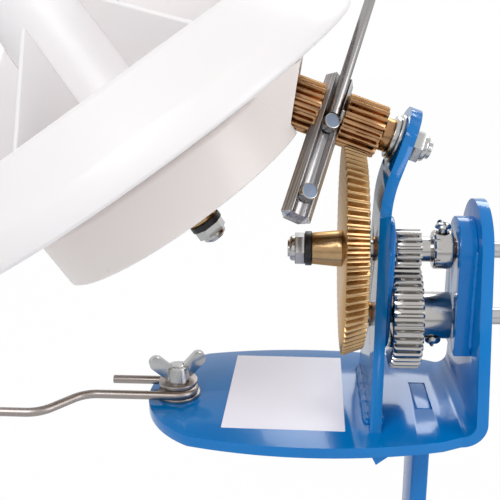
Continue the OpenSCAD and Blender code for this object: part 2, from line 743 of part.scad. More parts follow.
// Bracket, guard and bush that carry the cone's spindle
module spindle_bracket() {
    color(steel) difference() {
        union() {
            on_spindle(bracket_t) linear_extrude(bracket_h) union() {
                circle(r = 14);
                translate([0, -10]) square([54, 20]);
            }
            intersection() {
                on_axle(bracket_start) cylinder(r = 7.5, h = axle_end - bracket_start + 3);
                on_spindle(bracket_t - 12) cylinder(r = 90, h = bracket_h + 12);
            }
        }
        on_axle(bracket_start - 1) cylinder(r = shaft_r, h = axle_end - bracket_start + 1);
        on_spindle(bracket_t - 1) cylinder(r = 6.2, h = bracket_h + 2);
        on_spindle(bracket_t - 1) for (x = bracket_screw_x) translate([x, 0, 0]) cylinder(r = 1.6, h = bracket_h + 2);
    }
}
module bracket_screws() {
    color(nickel) on_spindle(guard_top_t) for (x = bracket_screw_x) translate([x, 0, 0])
        pan_screw(3, 0.9, 1.6, shell_t + bracket_h);
}
// Hood of the guard over the flyer pinion: its walls flare away from the open end
module hood(inset, from) {
    grown = hood_half_w - inset;
    intersection() {
        translate([guard_r - 3.5, 0, guard_rim_t + 3.8]) rotate([0, -hood_slope, 0]) rotate([0, 90, 0])
            rotate([0, 0, 180]) translate([0, 0, -20]) linear_extrude(70) polygon([
                [from, -grown], [0, -grown], [hood_reach, -grown - hood_flare * hood_reach],
                [hood_reach, grown + hood_flare * hood_reach], [0, grown], [from, grown]]);
        translate([0, -60, guard_rim_t + from]) cube([120, 120, guard_top_t - inset - guard_rim_t - from]);
    }
}
module gear_guard() {
    shoulder = 3;
    side_h = guard_top_t - guard_rim_t;
    arc_n = 6;
    outer = [for (i = [0:arc_n]) let (a = 90 * i / arc_n)
        [guard_r - shoulder + shoulder * cos(a), side_h - shoulder + shoulder * sin(a)]];
    color(plastic) difference() {
        union() {
            on_spindle(guard_rim_t) rotate_extrude($fn = 144) polygon(concat(
                [[0, 0], [guard_r - shell_t, 0], [guard_r - shell_t / 2, -0.7], [guard_r, 0]], outer, [[0, side_h]]));
            on_spindle() hood(0, 0);
        }
        on_spindle(guard_rim_t - 1) cylinder(r = guard_r - shell_t, h = side_h + 1 - shell_t, $fn = 144);
        on_spindle() hood(shell_t, -20);
        on_spindle(guard_top_t - 10) cylinder(r = 6.2, h = 20);
        on_axle(pinion_start) cylinder(r = flyer_tip_r + 0.6, h = pinion_end - pinion_start + 0.6);
        on_axle(pinion_end) cylinder(r = 8, h = 12);
        on_spindle(bracket_t - 1) for (x = bracket_screw_x) translate([x, 0, 0]) cylinder(r = 1.6, h = 20);
    }
}
module spindle_bush() {
    color(brass) on_spindle(bracket_t - 2) ring(6.2, shaft_r + running_play, guard_top_t - bracket_t + 2);
}

// The cone and what turns with it
module cone_spindle() {
    color(nickel) on_spindle(-0.8) cylinder(r = shaft_r, h = floor_t + 19);
}
module cone_gear() {
    color(brass) on_spindle(gear_t) conical_gear(cone_teeth, cone_angle, head_turn * flyer_teeth / cone_teeth);
}
module cone_gear_washer() { color(dark) on_spindle(nut_h) ring(8, shaft_r, washer_h); }
module cone_gear_nut() {
    color(nickel) on_spindle(nut_h) mirror([0, 0, 1]) hex_nut(13, nut_h, shaft_r);
}
function column_at(h) = column_r - (column_r - column_top_r) * h / (column_t - crown_r - floor_t);
module cone_floor() {
    color(plastic) on_spindle() difference() {
        union() {
            translate([0, 0, floor_t - shell_t]) cylinder(r = dish_r - 9, h = shell_t, $fn = 180);
            translate([0, 0, cone_hub_t]) cylinder(r = cone_hub_r, h = floor_t + cone_hub_over - cone_hub_t);
        }
        translate([0, 0, cone_hub_t - 1]) cylinder(r = shaft_r, h = cone_hub_over + floor_t);
    }
}

// Raised band, outer skirt and rolled rim
module cone_skirt() {
    t = shell_t;
    lip = 1.9;
    color(plastic) on_spindle() rotate_extrude($fn = 180) polygon(concat(
        [[dish_r - 9, floor_t - t], [dish_r - 8, floor_t - t]],
        [[dish_r - 3 - t / 2, floor_t + 1], [dish_r - t, dish_t - 7], [dish_r + 3, dish_t - 3.4]],
        [[flange_r - 7, flange_t + 9], [flange_r - 3.8, flange_t + 3]],
        [for (a = [180:30:360]) [flange_r - lip + lip * cos(a), flange_t + 1.6 + 1.6 * sin(a)]],
        [[flange_r - 0.6, flange_t + 5], [flange_r - 3.4, flange_t + 12]],
        [for (a = [35:15:145]) [dish_r + 3 + 5.4 * cos(a) , dish_t - 5 + 5 * sin(a)]],
        [[dish_r - 3.4, dish_t - 9], [dish_r - 6, floor_t + 3], [dish_r - 9, floor_t]]));
}
module cone_fins() {
    color(plastic) on_spindle() for (i = [0:fins - 1]) rotate([90, 0, fin_phase + i * 360 / fins])
        translate([0, 0, -shell_t / 2]) linear_extrude(shell_t) polygon([
            [column_r + seam, floor_t], [dish_r - 9 - seam, floor_t], [dish_r - 6 - seam, floor_t + 3],
            [dish_r - 3.4 - seam, dish_t - 9], [dish_r - 1.5 - seam, dish_t - 2.3],
            [column_at(fin_h) + seam, floor_t + fin_h]]);
}
module cone_column() {
    t = shell_t;
    crown_x = column_top_r - crown_r;
    crown_t = column_t - crown_r;
    color(plastic) on_spindle() difference() {
        rotate_extrude($fn = 120) polygon(concat(
            [[column_r - t, floor_t], [column_r, floor_t]],
            [for (a = [0:15:90]) [crown_x + crown_r * cos(a), crown_t + crown_r * sin(a)]],
            [[0, column_t], [0, column_t - t]],
            [for (a = [90:-15:0]) [crown_x + (crown_r - t) * cos(a), crown_t + (crown_r - t) * sin(a)]]));
        translate([-60, -1.1, column_t - 26]) cube([120, 2.2, 40]);
    }
}

// Yarn guide: hairpin wire round a bolt, riser and pigtail eye
module guide_bolt() {
    color(nickel) translate([guide_x, guide_y, 0]) {
        cylinder(r1 = 2 * bolt_r, r2 = bolt_r, h = bolt_r);
        cylinder(r = bolt_r, h = wing_z + wing_boss_h + 0.4);
    }
}
module guide_washers() {
    color(nickel) translate([guide_x, guide_y, plate_t]) {
        ring(10.6, bolt_r, low_washer_t);
        translate([0, 0, low_washer_t + 0.2 + 2 * wire_r]) ring(9.5, bolt_r, top_washer_t);
    }
}
module guide_arm() {
    step_bend = 14;
    corner_bend = 10;
    stub = 34;
    near_leg = 38;
    step_turn = 50;
    step_leg = 12;
    run_on = 14;
    step_side = 2 * step_bend * (1 - cos(step_turn)) + step_leg * sin(step_turn);
    step_run = 2 * step_bend * sin(step_turn) + step_leg * cos(step_turn);
    start_x = guide_x - near_leg - step_run - run_on;
    wire_y = guide_y + loop_shift;
    side_y = wire_y - loop_r - step_side;
    // From the step, the long leg slants back to the riser under the yarn eye
    back_turn = atan2(-side_y, start_x - riser_x);
    rise_len = yarn_eye[2] - wire_z - corner_bend - 2 * yarn_eye_bend * sin(60);
    long_leg = norm([side_y, start_x - riser_x]) - corner_bend - step_bend * tan(back_turn / 2);
    color(steel) translate([guide_x - stub, wire_y + loop_r, wire_z]) rotate([0, 90, 0]) rotate([0, 0, -90])
        leg(wire_r, stub) elbow(wire_r, loop_r, 180) leg(wire_r, near_leg) rotate([0, 0, 180])
        elbow(wire_r, step_bend, step_turn) leg(wire_r, step_leg) rotate([0, 0, 180])
        elbow(wire_r, step_bend, step_turn) leg(wire_r, run_on) elbow(wire_r, step_bend, back_turn)
        leg(wire_r, long_leg) rotate([0, 0, -90]) elbow(wire_r, corner_bend, 90)
        leg(wire_r, rise_len) rotate([0, 0, 90]) open_eye(wire_r, yarn_eye_bend);
}
module wing_nut() {
    wing_t = 3.6;
    wing_half = 3.4;
    color(nickel) translate([guide_x, guide_y, wing_z]) rotate([0, 0, 20]) difference() {
        union() {
            cylinder(r1 = 6.3, r2 = 5.3, h = wing_boss_h);
            for (side = [0, 180]) rotate([0, 0, side]) rotate([90, 0, 0]) translate([0, 0, -wing_t / 2])
                linear_extrude(wing_t) translate([3.8, 3.6]) rotate(44) union() {
                    translate([0, -wing_half]) square([9.2, 2 * wing_half]);
                    translate([9.2, 0]) circle(r = wing_half);
                }
        }
        translate([0, 0, -1]) cylinder(r = bolt_r + running_play, h = wing_boss_h + 2);
    }
}

base_plate();
middle_upright();
inner_bearing_block();
outer_bearing_block();
bearing_bushes();
clamp_bar();
grip_spurs();
guide_bolt();
guide_washers();
flyer_axle();
axle_nut();
axle_washers();
axle_spacer();
spindle_bracket();
bracket_screws();
gear_guard();
spindle_bush();
main_shaft();
main_gear();
main_gear_washer();
main_gear_nut();
main_pinion();
shaft_collar();
collar_screw();
crank_shaft();
drive_gear();
drive_gear_screw();
crank_arm();
crank_screw();
knob_spindle();
crank_knob();
flyer_pinion();
flyer_bar();
bar_screws();
flyer_rod();
cone_floor();
cone_skirt();
cone_fins();
cone_column();
cone_spindle();
cone_gear();
cone_gear_washer();
cone_gear_nut();
guide_arm();
wing_nut();
clamp_pad();
clamp_screw();
clamp_handle();
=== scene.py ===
import bpy
import bmesh
import json
from math import radians, degrees, pi, sin, cos, tan, atan2, sqrt, hypot
from mathutils import Matrix, Vector

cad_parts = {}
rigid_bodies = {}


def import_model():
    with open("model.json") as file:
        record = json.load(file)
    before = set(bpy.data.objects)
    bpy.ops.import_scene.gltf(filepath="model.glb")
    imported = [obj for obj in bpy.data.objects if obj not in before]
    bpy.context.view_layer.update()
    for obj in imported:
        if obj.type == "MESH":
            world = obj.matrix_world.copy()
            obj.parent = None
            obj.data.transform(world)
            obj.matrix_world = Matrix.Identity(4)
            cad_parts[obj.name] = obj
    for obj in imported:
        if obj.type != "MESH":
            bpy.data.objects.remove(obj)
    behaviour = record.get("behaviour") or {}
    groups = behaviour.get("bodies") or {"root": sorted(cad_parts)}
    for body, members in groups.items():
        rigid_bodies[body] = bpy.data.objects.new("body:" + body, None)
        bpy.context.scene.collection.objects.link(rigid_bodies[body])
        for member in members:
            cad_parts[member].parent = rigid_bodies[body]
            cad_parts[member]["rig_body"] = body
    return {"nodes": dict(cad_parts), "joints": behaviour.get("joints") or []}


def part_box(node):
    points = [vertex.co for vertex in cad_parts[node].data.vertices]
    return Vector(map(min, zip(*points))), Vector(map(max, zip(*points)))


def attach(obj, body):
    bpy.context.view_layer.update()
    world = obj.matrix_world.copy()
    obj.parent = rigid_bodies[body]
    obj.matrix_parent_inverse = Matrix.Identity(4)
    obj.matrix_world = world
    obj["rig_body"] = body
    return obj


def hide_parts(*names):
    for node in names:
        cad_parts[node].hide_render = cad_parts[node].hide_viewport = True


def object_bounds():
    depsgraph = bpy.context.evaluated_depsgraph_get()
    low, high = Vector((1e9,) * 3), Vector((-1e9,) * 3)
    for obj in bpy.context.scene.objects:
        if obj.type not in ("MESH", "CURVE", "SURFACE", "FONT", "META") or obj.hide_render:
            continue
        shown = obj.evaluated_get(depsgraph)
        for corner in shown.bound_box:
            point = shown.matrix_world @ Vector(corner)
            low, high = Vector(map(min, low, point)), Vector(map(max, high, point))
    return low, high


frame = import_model()
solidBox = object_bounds()
nodes = frame["nodes"]
joints = {joint["name"]: joint for joint in frame["joints"]}
print("frame loaded,", len(nodes), "nodes")

mm = 0.001


# Where things are, read from the frame so that pieces follow it
def jointPoint(name):
    return Vector(joints[name]["pos_m"])


def jointAxis(name):
    return Vector(joints[name]["axis"]).normalized()


mainPoint, mainAxis = jointPoint("main_spin"), jointAxis("main_spin")
crankPoint = jointPoint("crank_spin")
knobPoint = jointPoint("knob_spin")
flyerPoint, flyerAxis = jointPoint("flyer_spin"), jointAxis("flyer_spin")
conePoint, coneAxis = jointPoint("cone_spin"), jointAxis("cone_spin")


def axisFrame(point, axis, towards):
    # matrix whose Z is the axis and whose X leans towards the given direction
    z = axis.normalized()
    x = (towards - towards.dot(z) * z).normalized()
    y = z.cross(x)
    turned = Matrix((x, y, z)).transposed().to_4x4()
    turned.translation = point
    return turned


# Camera

view = {
    "place": (-0.0167, -0.33646, 0.18431),
    "turn": 0.0765,      # about the vertical, radians
    "down": 0.3029,      # below the horizon
    "roll": 0.0136,
    "lens": 54.3,
}


def addCamera():
    turn, down, roll = view["turn"], view["down"], view["roll"]
    forward = Vector((-sin(turn) * cos(down), cos(turn) * cos(down), -sin(down)))
    level = Vector((cos(turn), sin(turn), 0))
    below = forward.cross(level)
    right = cos(roll) * level + sin(roll) * below
    under = -sin(roll) * level + cos(roll) * below
    data = bpy.data.cameras.new("camera")
    data.lens = view["lens"]
    data.sensor_width = 36
    data.clip_start = 0.01
    data.clip_end = 20
    camera = bpy.data.objects.new("camera", data)
    turned = Matrix((right, -under, -forward)).transposed().to_4x4()
    turned.translation = Vector(view["place"])
    camera.matrix_world = turned
    bpy.context.scene.collection.objects.link(camera)
    bpy.context.scene.camera = camera


addCamera()
bpy.context.scene.view_settings.view_transform = "Standard"
print("camera placed")


# Shader helper: a socket that takes part in sums

class Signal:
    def __init__(self, tree, socket=None):
        self.tree = tree
        self.socket = socket

    def node(self, kind, settings=None, inputs=None, output=0):
        made = self.tree.nodes.new("ShaderNode" + kind)
        for name, value in (settings or {}).items():
            if name == "stops":
                ramp = made.color_ramp
                for place, colour in value[1:-1]:
                    ramp.elements.new(place)
                for element, (place, colour) in zip(ramp.elements, value):
                    element.position = place
                    element.color = (*colour, 1)
            else:
                setattr(made, name, value)
        for name, value in (inputs or {}).items():
            if isinstance(value, Signal):
                self.tree.links.new(value.socket, made.inputs[name])
            else:
                made.inputs[name].default_value = value
        return Signal(self.tree, made.outputs[output])

    def maths(self, operation, first, second=0.0):
        return self.node("Math", {"operation": operation}, {0: first, 1: second})

    def __add__(self, other):
        return self.maths("ADD", self, other)

    def __sub__(self, other):
        return self.maths("SUBTRACT", self, other)

    def __rsub__(self, other):
        return self.maths("SUBTRACT", other, self)

    def __mul__(self, other):
        return self.maths("MULTIPLY", self, other)

    def __truediv__(self, other):
        return self.maths("DIVIDE", self, other)

    __radd__ = __add__
    __rmul__ = __mul__


def clamped(signal, low, high):
    return signal.node("Clamp", None, {"Value": signal, "Min": low, "Max": high})


def blendColour(factor, first, second):
    def full(colour):
        return colour if isinstance(colour, Signal) else (*colour, 1)
    return factor.node("Mix", {"data_type": "RGBA"}, {0: factor, 6: full(first), 7: full(second)}, 2)


def noise(place, scale, detail=3.0, roughness=0.5):
    return place.node("TexNoise", None,
                      {"Vector": place, "Scale": scale, "Detail": detail, "Roughness": roughness})


def axisDistance(place, point, axis):
    # distance from a line, for turned faces
    offset = place.node("VectorMath", {"operation": "SUBTRACT"}, {0: place, 1: tuple(point)})
    across = place.node("VectorMath", {"operation": "CROSS_PRODUCT"}, {0: offset, 1: tuple(axis)})
    return place.node("VectorMath", {"operation": "LENGTH"}, {0: across}, 1)


def alongAxis(place, axis):
    return place.node("VectorMath", {"operation": "DOT_PRODUCT"}, {0: place, 1: tuple(axis)}, 1)


def startMaterial(name, fixed):
    # a fresh Principled material, the position on the piece, and the shader
    material = bpy.data.materials.new(name)
    material.use_nodes = True
    tree = material.node_tree
    tree.nodes.clear()
    shader = tree.nodes.new("ShaderNodeBsdfPrincipled")
    output = tree.nodes.new("ShaderNodeOutputMaterial")
    tree.links.new(shader.outputs[0], output.inputs[0])
    for key, value in fixed.items():
        shader.inputs[key].default_value = value
    place = Signal(tree).node("TexCoord", None, None, "Object")
    return material, place, shader


def feed(shader, **signals):
    sockets = {"colour": "Base Color", "roughness": "Roughness", "metallic": "Metallic", "normal": "Normal"}
    for key, signal in signals.items():
        signal.tree.links.new(signal.socket, shader.inputs[sockets[key]])


def bump(height, strength, distance):
    return height.node("Bump", None, {"Strength": strength, "Distance": distance, "Height": height})


# Finishes: colours are linear, scales of the patterns are per metre, depths of the bumps in metres

paint = {"colour": (0.0, 0.195, 0.550), "deep": (0.0, 0.140, 0.440), "roughness": 0.16, "peel": 0.25,
         "poolScale": 28, "speckScale": 900, "peelScale": 140, "peelDepth": 0.00012}


def enamel():
    material, place, shader = startMaterial("blueEnamel", {
        "Specular IOR Level": 0.28, "Coat Weight": 0.20, "Coat Roughness": 0.03, "Coat IOR": 1.45})
    pool = noise(place, paint["poolScale"], 2)
    specks = noise(place, paint["speckScale"], 2)
    feed(shader, colour=blendColour(pool, paint["deep"], paint["colour"]),
         roughness=paint["roughness"] + 0.10 * (specks - 0.5),
         normal=bump(noise(place, paint["peelScale"], 2) + 0.25 * specks, paint["peel"], paint["peelDepth"]))
    return material


fineDepth = 0.00005
turning = {"rings": 1400, "along": 60, "stain": 90, "depth": 0.00006, "edgeTint": (0.88, 0.70, 0.48, 1)}


def brass(name, point, axis, colour, dark, roughness):
    # fine rings round the axis, and a faint stain
    material, place, shader = startMaterial(name, {"Metallic": 1.0, "Specular Tint": turning["edgeTint"]})
    outward = axisDistance(place, point, axis) * turning["rings"]
    along = alongAxis(place, axis) * turning["along"]
    turned = noise(place.node("CombineXYZ", None, {0: outward, 1: along}), 1.0, 2)
    stain = noise(place, turning["stain"], 4, 0.6)
    feed(shader, colour=blendColour(clamped(stain * 1.6 - 0.3, 0.0, 1.0), dark, colour),
         roughness=roughness + 0.16 * (stain - 0.5) + 0.10 * (turned - 0.5),
         normal=bump(turned, 0.25, turning["depth"]))
    return material


plating = {"cloud": 70, "shade": 0.86}


def bright(name, colour, roughness, smudge, speck=500):
    # plated metal, clouded by handling
    material, place, shader = startMaterial(name, {"Metallic": 1.0})
    cloud = noise(place, plating["cloud"], 3)
    fine = noise(place, speck, 3)
    shade = tuple(plating["shade"] * part for part in colour)
    feed(shader, colour=blendColour(cloud, shade, colour),
         roughness=roughness + smudge * (cloud - 0.4),
         normal=bump(fine, 0.18, fineDepth))
    return material


drawing = {"along": 22, "across": 1500, "cloud": 60, "shade": 0.80}


def stretchedNoise(place, turned, along, across):
    # noise drawn out along the first of three directions
    lengthways, second, third = turned
    return noise(place.node("CombineXYZ", None, {
        0: alongAxis(place, lengthways) * along, 1: alongAxis(place, second) * across,
        2: alongAxis(place, third) * across}), 1.0, 3)


def drawn(name, axis, colour, roughness, depth):
    # steel with its marks along the given direction
    material, place, shader = startMaterial(name, {"Metallic": 1.0})
    side = axis.orthogonal().normalized()
    streaks = stretchedNoise(place, (axis, side, axis.cross(side)), drawing["along"], drawing["across"])
    cloud = noise(place, drawing["cloud"], 3)
    shade = tuple(drawing["shade"] * part for part in colour)
    feed(shader, colour=blendColour(clamped(streaks * 1.4 - 0.2, 0.0, 1.0), shade, colour),
         roughness=roughness + 0.16 * (streaks - 0.5) + 0.10 * (cloud - 0.5),
         normal=bump(streaks, depth, fineDepth))
    return material


# the flank colours below are a painted reflection, pale and less metallic than the dark front
milling = {"groove": 3.6, "fade": 0.3, "along": 18, "across": 1300, "flankMetal": 0.45, "roughness": 0.26,
           "darkLine": (0.16, 0.15, 0.15), "dark": (0.40, 0.39, 0.40),
           "paintedReflectionLine": (0.44, 0.43, 0.42), "paintedReflection": (0.82, 0.81, 0.80)}


def milledBar(name, home):
    # drawn steel, dark in the milled front; the flanks get a pale, less metallic colour, a painted reflection
    material, place, shader = startMaterial(name, {})
    turned = home.to_3x3() @ Matrix.Rotation(radians(rod["twist"]), 3, "X")
    directions = [turned.col[i].normalized() for i in range(3)]
    across = alongAxis(place, directions[2]) - directions[2].dot(home.translation)
    aside = across.maths("ABSOLUTE", across)
    flank = clamped((aside - milling["groove"] * mm) / (milling["fade"] * mm), 0.0, 1.0)
    streaks = stretchedNoise(place, directions, milling["along"], milling["across"])
    lines = clamped(streaks * 4.0 - 1.4, 0.0, 1.0)
    dark = blendColour(lines, milling["darkLine"], milling["dark"])
    # painted reflection on the flanks
    paintedReflection = blendColour(lines, milling["paintedReflectionLine"], milling["paintedReflection"])
    feed(shader, colour=blendColour(flank, dark, paintedReflection), metallic=1.0 - (1.0 - milling["flankMetal"]) * flank,
         roughness=milling["roughness"] + 0.14 * (streaks - 0.5), normal=bump(streaks, 0.25, fineDepth))
    return material


moulding = {"flow": 16, "smudge": 45, "grain": 1100, "reach": (0.006, 0.005, 0.004), "shine": 0.45}


def moulded(name, colour, warm, roughness, soft, grain=0.10):
    # plastic with slow flow marks and a faint grain
    material, place, shader = startMaterial(name, {
        "Subsurface Weight": soft, "Subsurface Radius": moulding["reach"], "Subsurface Scale": 1.0,
        "Specular IOR Level": moulding["shine"]})
    smudge = noise(place, moulding["smudge"], 3)
    feed(shader, colour=blendColour(noise(place, moulding["flow"], 2), warm, colour),
         roughness=roughness + 0.12 * (smudge - 0.5),
         normal=bump(noise(place, moulding["grain"], 2), grain, fineDepth))
    return material


rubber = {"dust": 200, "grain": 800, "lift": 0.03, "depth": 0.0001}


def rubbery(name, colour, roughness):
    # dark rubber or plastic with a little dust
    material, place, shader = startMaterial(name, {"Specular IOR Level": 0.4})
    dust = clamped(noise(place, rubber["dust"], 4, 0.6) * 2.2 - 0.9, 0.0, 1.0)
    feed(shader, colour=blendColour(dust, colour, tuple(part + rubber["lift"] for part in colour)),
         roughness=roughness + 0.15 * (dust - 0.5),
         normal=bump(noise(place, rubber["grain"], 2), 0.3, rubber["depth"]))
    return material


finishes = {
    "frame_paint": enamel(),
    "main_brass": brass("turnedBrassMain", mainPoint, mainAxis, (0.55, 0.38, 0.20), (0.33, 0.20, 0.10), 0.24),
    "cone_brass": brass("turnedBrassCone", conePoint, coneAxis, (0.55, 0.38, 0.20), (0.33, 0.20, 0.10), 0.24),
    "flyer_brass": brass("turnedBrassFlyer", flyerPoint, flyerAxis, (0.55, 0.33, 0.17), (0.27, 0.14, 0.07),
                         0.18),
    "gear_chrome": bright("platedChrome", (0.50, 0.485, 0.47), 0.14, 0.14),
    "shaft_steel": drawn("groundShaft", mainAxis, (0.52, 0.52, 0.53), 0.20, 0.15),
    "axle_steel": drawn("groundAxle", flyerAxis, (0.50, 0.50, 0.51), 0.20, 0.15),
    "zinc": bright("zincPlate", (0.50, 0.50, 0.495), 0.18, 0.16),
    "black_washer": rubbery("blackWasher", (0.012, 0.012, 0.014), 0.45),
    "white_plastic": moulded("whiteMoulding", (0.86, 0.835, 0.835), (0.83, 0.79, 0.79), 0.34, 0.12),
    "guard_plastic": moulded("guardMoulding", (0.94, 0.87, 0.83), (0.90, 0.81, 0.76), 0.30, 0.15),
    "knob_plastic": rubbery("knobMoulding", (0.010, 0.010, 0.011), 0.28),
    "pad_rubber": rubbery("padRubber", (0.016, 0.016, 0.016), 0.6),
}


# Building helpers

def finishPiece(bm, name, material, body, replaces=(), sharp=35, turned=None):
    # writes the bmesh to an object that sits at the origin and rides on its body
    if turned is not None:
        bmesh.ops.transform(bm, matrix=turned, verts=bm.verts)
    data = bpy.data.meshes.new(name)
    bm.to_mesh(data)
    bm.free()
    data.shade_smooth()
    data.set_sharp_from_angle(angle=radians(sharp))
    data.materials.append(material)
    piece = bpy.data.objects.new(name, data)
    bpy.context.scene.collection.objects.link(piece)
    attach(piece, body)
    if replaces:
        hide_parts(*replaces)


def bevelled(bm, parts, width, segments, affect="EDGES", slide=False):
    bmesh.ops.bevel(bm, geom=parts, offset=width * mm, offset_type="OFFSET", segments=segments, profile=0.5,
                    affect=affect, clamp_overlap=True, material=-1, loop_slide=slide)


cornerAngle = 28     # degrees between faces, from which an edge is broken


def sharpEdges(bm, angle=cornerAngle):
    return [e for e in bm.edges if len(e.link_faces) == 2 and e.calc_face_angle(0) > radians(angle)]


def raised(bm, faces, step):
    # draws the faces out by a step in metres
    made = bmesh.ops.extrude_face_region(bm, geom=faces)
    moved = [part for part in made["geom"] if isinstance(part, bmesh.types.BMVert)]
    bmesh.ops.translate(bm, verts=moved, vec=step)


def mergedCopy(node):
    # a CAD node's mesh with its triangles joined into flat faces
    bm = bmesh.new()
    bm.from_mesh(nodes[node].data)
    bmesh.ops.remove_doubles(bm, verts=bm.verts, dist=1e-6)
    bmesh.ops.dissolve_limit(bm, angle_limit=radians(0.6), verts=bm.verts, edges=bm.edges, delimit=set())
    return bm


def spun(profile, steps=96):
    # profile points are (radius, height) in millimetres
    bm = bmesh.new()
    verts = [bm.verts.new((r * mm, 0, z * mm)) for r, z in profile]
    edges = [bm.edges.new(pair) for pair in zip(verts, verts[1:])]
    bmesh.ops.spin(bm, geom=verts + edges, cent=(0, 0, 0), axis=(0, 0, 1), angle=2 * pi, steps=steps,
                   use_merge=True, use_duplicate=False)
    bmesh.ops.remove_doubles(bm, verts=bm.verts, dist=1e-6)
    bmesh.ops.recalc_face_normals(bm, faces=bm.faces)
    return bm


def join(bm, other):
    # adds another bmesh to this one
    data = bpy.data.meshes.new("joining")
    other.to_mesh(data)
    other.free()
    bm.from_mesh(data)
    bpy.data.meshes.remove(data)
    return bm


def arcPoints(centre, radius, first, last, count):
    return [(centre[0] + radius * cos(radians(first + (last - first) * i / count)),
             centre[1] + radius * sin(radians(first + (last - first) * i / count))) for i in range(count + 1)]


def softened(node, width, segments):
    # a copy of a CAD node with its sharp edges rounded
    bm = mergedCopy(node)
    bmesh.ops.recalc_face_normals(bm, faces=bm.faces)
    bevelled(bm, sharpEdges(bm), width, segments, slide=True)
    finish, body = finishes[nodeFinish[node]], nodes[node]["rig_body"]
    finishPiece(bm, node + "_soft", finish, body, (node,), 40)


def wireRoute(start, steps):
    # points of a bent wire: legs and elbows, each turn made towards the frame's X
    place = start.copy()
    points = [place.translation.copy()]
    for kind, *size in steps:
        if kind == "leg":
            place = place @ Matrix.Translation((0, 0, size[0] * mm))
            points.append(place.translation.copy())
        elif kind == "roll":
            place = place @ Matrix.Rotation(radians(size[0]), 4, "Z")
        else:
            bend, angle = size
            count = max(3, int(angle / 7))
            step = (Matrix.Translation((bend * mm, 0, 0)) @ Matrix.Rotation(radians(angle / count), 4, "Y")
                    @ Matrix.Translation((-bend * mm, 0, 0)))
            for _ in range(count):
                place = place @ step
                points.append(place.translation.copy())
    return points


eye = {"bend": 60, "turn": 290}


def eyeSteps(radius):
    # a round yarn eye at a wire's end
    return [("roll", 180), ("turn", radius, eye["bend"]), ("roll", 180), ("turn", radius, eye["turn"])]


def eyeHeight(radius):
    return 2 * radius * sin(radians(eye["bend"]))


def tube(points, radius, swell=None):
    # a round tube along the points; swell gives each point's share of the radius
    data = bpy.data.curves.new("route", "CURVE")
    data.dimensions = "3D"
    line = data.splines.new("POLY")
    line.points.add(len(points) - 1)
    for index, (point, spot) in enumerate(zip(line.points, points)):
        point.co = (*spot, 1)
        point.radius = swell[index] if swell else 1
    data.bevel_depth = radius * mm
    data.bevel_resolution = 8
    data.use_fill_caps = True
    carrier = bpy.data.objects.new("route", data)
    bpy.context.scene.collection.objects.link(carrier)
    bpy.context.view_layer.update()
    made = bpy.data.meshes.new_from_object(carrier.evaluated_get(bpy.context.evaluated_depsgraph_get()))
    bpy.data.objects.remove(carrier)
    bm = bmesh.new()
    bm.from_mesh(made)
    bpy.data.meshes.remove(made)
    bmesh.ops.remove_doubles(bm, verts=bm.verts, dist=1e-6)
    bmesh.ops.recalc_face_normals(bm, faces=bm.faces)
    ends = sharpEdges(bm, 60)
    if ends and not swell:
        bevelled(bm, ends, 0.3, 2)
    return bm


# Frames for the pieces: Z runs along each axis

up = Vector((0, 0, 1))
shaftFrame = axisFrame(mainPoint, mainAxis, up)
flyerHome = axisFrame(flyerPoint, flyerAxis, up)
coneFrame = axisFrame(conePoint, coneAxis, flyerPoint - conePoint)

rod = {"turn": 38, "twist": 10.5, "radius": 2.5, "foot": -4.0, "front": -6.85, "bend": 80, "rise": 100,
       "reach": 141, "over": 134, "elbow": 12, "eye": 8.5}
barFrame = flyerHome @ Matrix.Rotation(radians(rod["turn"]), 4, "Z")
barAxis = (barFrame.to_3x3() @ Vector((1, 0, 0))).normalized()
finishes["bar_steel"] = drawn("drawnBar", barAxis, (0.58, 0.57, 0.57), 0.34, 0.25)
finishes["milled_bar"] = milledBar("milledBar", barFrame)
finishes["rod_steel"] = drawn("drawnRod", barAxis, (0.36, 0.345, 0.34), 0.28, 0.30)
finishes["wire_steel"] = bright("dullWire", (0.36, 0.32, 0.30), 0.34, 0.20)
finishes["label"] = moulded("labelFilm", (0.87, 0.86, 0.96), (0.84, 0.83, 0.93), 0.30, 0.0, 0.04)
finishes["nylon"] = moulded("nutInsert", (0.42, 0.50, 0.66), (0.36, 0.44, 0.62), 0.40, 0.05, 0.05)
finishes["slot_shade"] = moulded("slotShade", (0.30, 0.30, 0.31), (0.26, 0.26, 0.27), 0.5, 0.0)
# dark bluish grey for the bar screws' tops: painted shade of their socket recess
finishes["cut_zinc"] = bright("recessShade", (0.20, 0.24, 0.32), 0.45, 0.25, 900)

nodesWith = {
    "frame_paint": ("base_plate", "middle_upright", "inner_bearing_block", "outer_bearing_block", "clamp_bar",
                    "crank_arm", "grip_spurs"),
    "main_brass": ("main_gear", "bearing_bushes"),
    "cone_brass": ("cone_gear", "spindle_bush"),
    "flyer_brass": ("flyer_pinion", "axle_spacer"),
    "gear_chrome": ("main_pinion", "shaft_collar", "drive_gear"),
    "shaft_steel": ("main_shaft", "crank_shaft", "knob_spindle"),
    "axle_steel": ("flyer_axle", "cone_spindle"),
    "bar_steel": ("flyer_bar", "spindle_bracket"),
    "rod_steel": ("flyer_rod",),
    "wire_steel": ("guide_arm", "guide_washers"),
    "zinc": ("guide_bolt", "axle_nut", "axle_washers", "bracket_screws", "main_gear_nut", "collar_screw",
             "drive_gear_screw", "crank_screw", "bar_screws", "cone_gear_nut", "wing_nut", "clamp_screw",
             "clamp_handle"),
    "black_washer": ("main_gear_washer", "cone_gear_washer"),
    "white_plastic": ("cone_floor", "cone_skirt", "cone_fins", "cone_column"),
    "guard_plastic": ("gear_guard",),
    "knob_plastic": ("crank_knob",),
    "pad_rubber": ("clamp_pad",),
}
nodeFinish = {node: finish for finish, group in nodesWith.items() for node in group}
for node, finish in nodeFinish.items():
    solid = nodes[node].data
    solid.materials.clear()
    solid.materials.append(finishes[finish])
print("finishes on", len(nodeFinish), "solids")

